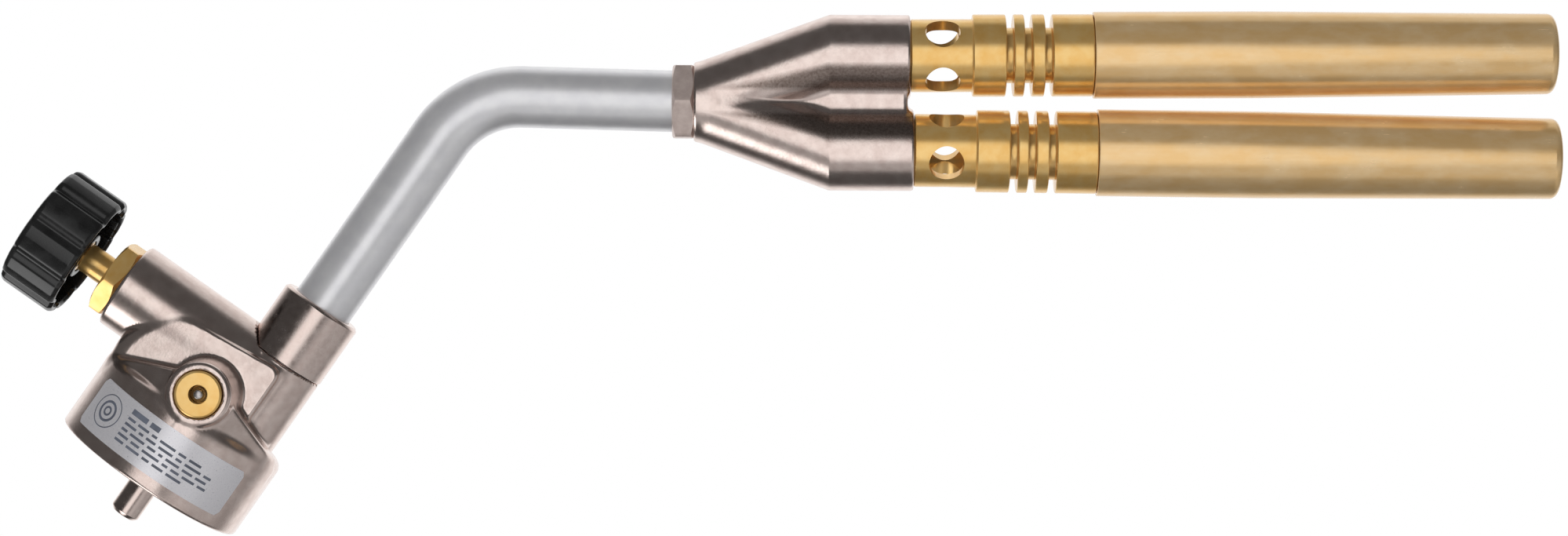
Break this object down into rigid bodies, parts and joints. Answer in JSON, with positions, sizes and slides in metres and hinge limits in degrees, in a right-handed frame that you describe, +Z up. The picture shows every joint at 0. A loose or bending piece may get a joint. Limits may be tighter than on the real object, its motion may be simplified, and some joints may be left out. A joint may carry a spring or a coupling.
{
  "type": "gas hand torch",
  "caption": "Hand torch with a needle valve and black knob, an inlet collar for a gas cylinder, a bent aluminium gas tube and a Y manifold feeding twin brass burners.",
  "frame": {"origin": "centre of the inlet collar's bottom rim, on the axis of the gas inlet", "axes": "+Z up the inlet axis away from the gas cylinder, +X towards the burners, +Y across the torch, away from the side with the brass plug and the label"},
  "size_m": [0.2912, 0.0489, 0.2901],
  "materials": {
    "cast_nickel": "nickel-plated zinc die-casting, semi-bright with a fine pebbled cast surface",
    "plain_nickel": "turned and nickel-plated, semi-bright",
    "aluminium_tube": "satin drawn tube with fine lengthwise grain",
    "brass": "bright machined brass with faint turning lines",
    "satin_brass": "pale satin brass with lengthwise brushing",
    "steel": "plain steel",
    "black_plastic": "glossy moulded black plastic",
    "rubber": "black nitrile rubber",
    "packing": "white PTFE",
    "label_foil": "silver-blue foil sticker with plain grey marks"
  },
  "bodies": {
    "torch": {"valve_body": "cast_nickel", "burner_manifold": "cast_nickel", "inlet_stem": "plain_nickel", "outlet_collar": "plain_nickel", "manifold_nut": "plain_nickel", "gas_tube": "aluminium_tube", "inlet_thread_ring": "brass", "inlet_filter": "brass", "side_plug": "brass", "gland_nut": "brass", "tube_ferrule": "brass", "upper_jet": "brass", "lower_jet": "brass", "upper_mixing_tube": "brass", "lower_mixing_tube": "brass", "upper_flame_holder": "brass", "lower_flame_holder": "brass", "upper_flame_tube": "satin_brass", "lower_flame_tube": "satin_brass", "side_plug_pin": "steel", "packing_washer": "steel", "stem_o_ring": "rubber", "inlet_gasket": "rubber", "tube_gasket": "rubber", "side_plug_gasket": "rubber", "gland_packing": "packing", "valve_seat": "packing", "data_label": "label_foil"},
    "spindle_seal": {"spindle_o_ring": "rubber"},
    "knob_and_spindle": {"spindle": "brass", "knob": "black_plastic", "knob_insert": "brass", "knob_screw": "steel", "knob_cap": "black_plastic"}
  },
  "joints": [
    {"name": "spindle_lift", "type": "slide", "parent": "torch", "child": "spindle_seal", "axis": [-1, 0, 0], "range_m": [0, 0.0015]},
    {"name": "knob_turn", "type": "hinge", "parent": "spindle_seal", "child": "knob_and_spindle", "pos_m": [-0.048, 0, 0.034], "axis": [-1, 0, 0], "range_deg": [0, 720]}
  ],
  "couplings": [
    {"joint": "spindle_lift", "follows": "knob_turn", "m_per_rad": 0.00011937}
  ]
}
